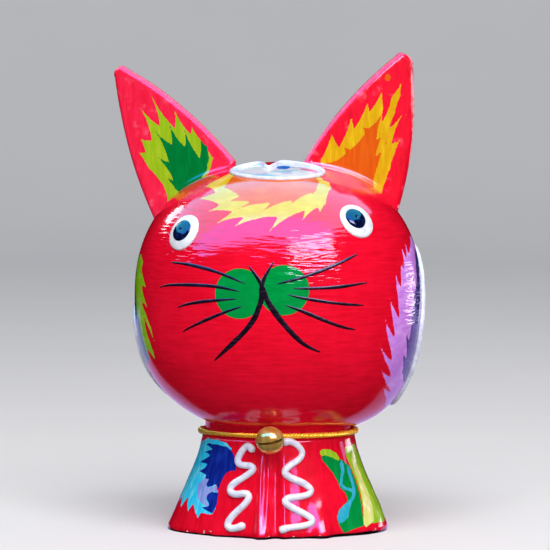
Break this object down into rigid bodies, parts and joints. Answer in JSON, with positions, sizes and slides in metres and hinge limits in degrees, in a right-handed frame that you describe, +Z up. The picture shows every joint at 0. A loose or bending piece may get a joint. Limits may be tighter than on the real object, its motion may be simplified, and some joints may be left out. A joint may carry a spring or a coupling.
{
  "type": "papier-mache cat figurine",
  "caption": "Standing papier-mache cat ornament: round painted head with two plate ears on a short flared body, with a gold neck cord and a round brass bell.",
  "frame": {"origin": "middle of the flat underside, where the cat stands", "axes": "+Z up, the cat faces -Y, its left ear is on +X"},
  "size_m": [0.091, 0.0822, 0.137],
  "materials": {
    "papier_mache": "hand-painted red and brush splashes under a glossy brushed varnish",
    "bead_paint": "piped white relief paint, glossy",
    "eye_white": "thick white drop of paint, glossy",
    "pupil_paint": "thick black drop of paint, mirror gloss",
    "gold_thread": "twisted metallic gold thread",
    "bell_brass": "bright plated brass"
  },
  "bodies": {
    "root": {"cat_body": "papier_mache", "crown_piping": "bead_paint", "left_cheek_piping": "bead_paint", "right_cheek_piping": "bead_paint", "left_leg_piping": "bead_paint", "right_leg_piping": "bead_paint", "left_eye_white": "eye_white", "right_eye_white": "eye_white", "left_pupil": "pupil_paint", "right_pupil": "pupil_paint", "neck_cord": "gold_thread", "bell": "bell_brass"}
  },
  "joints": []
}
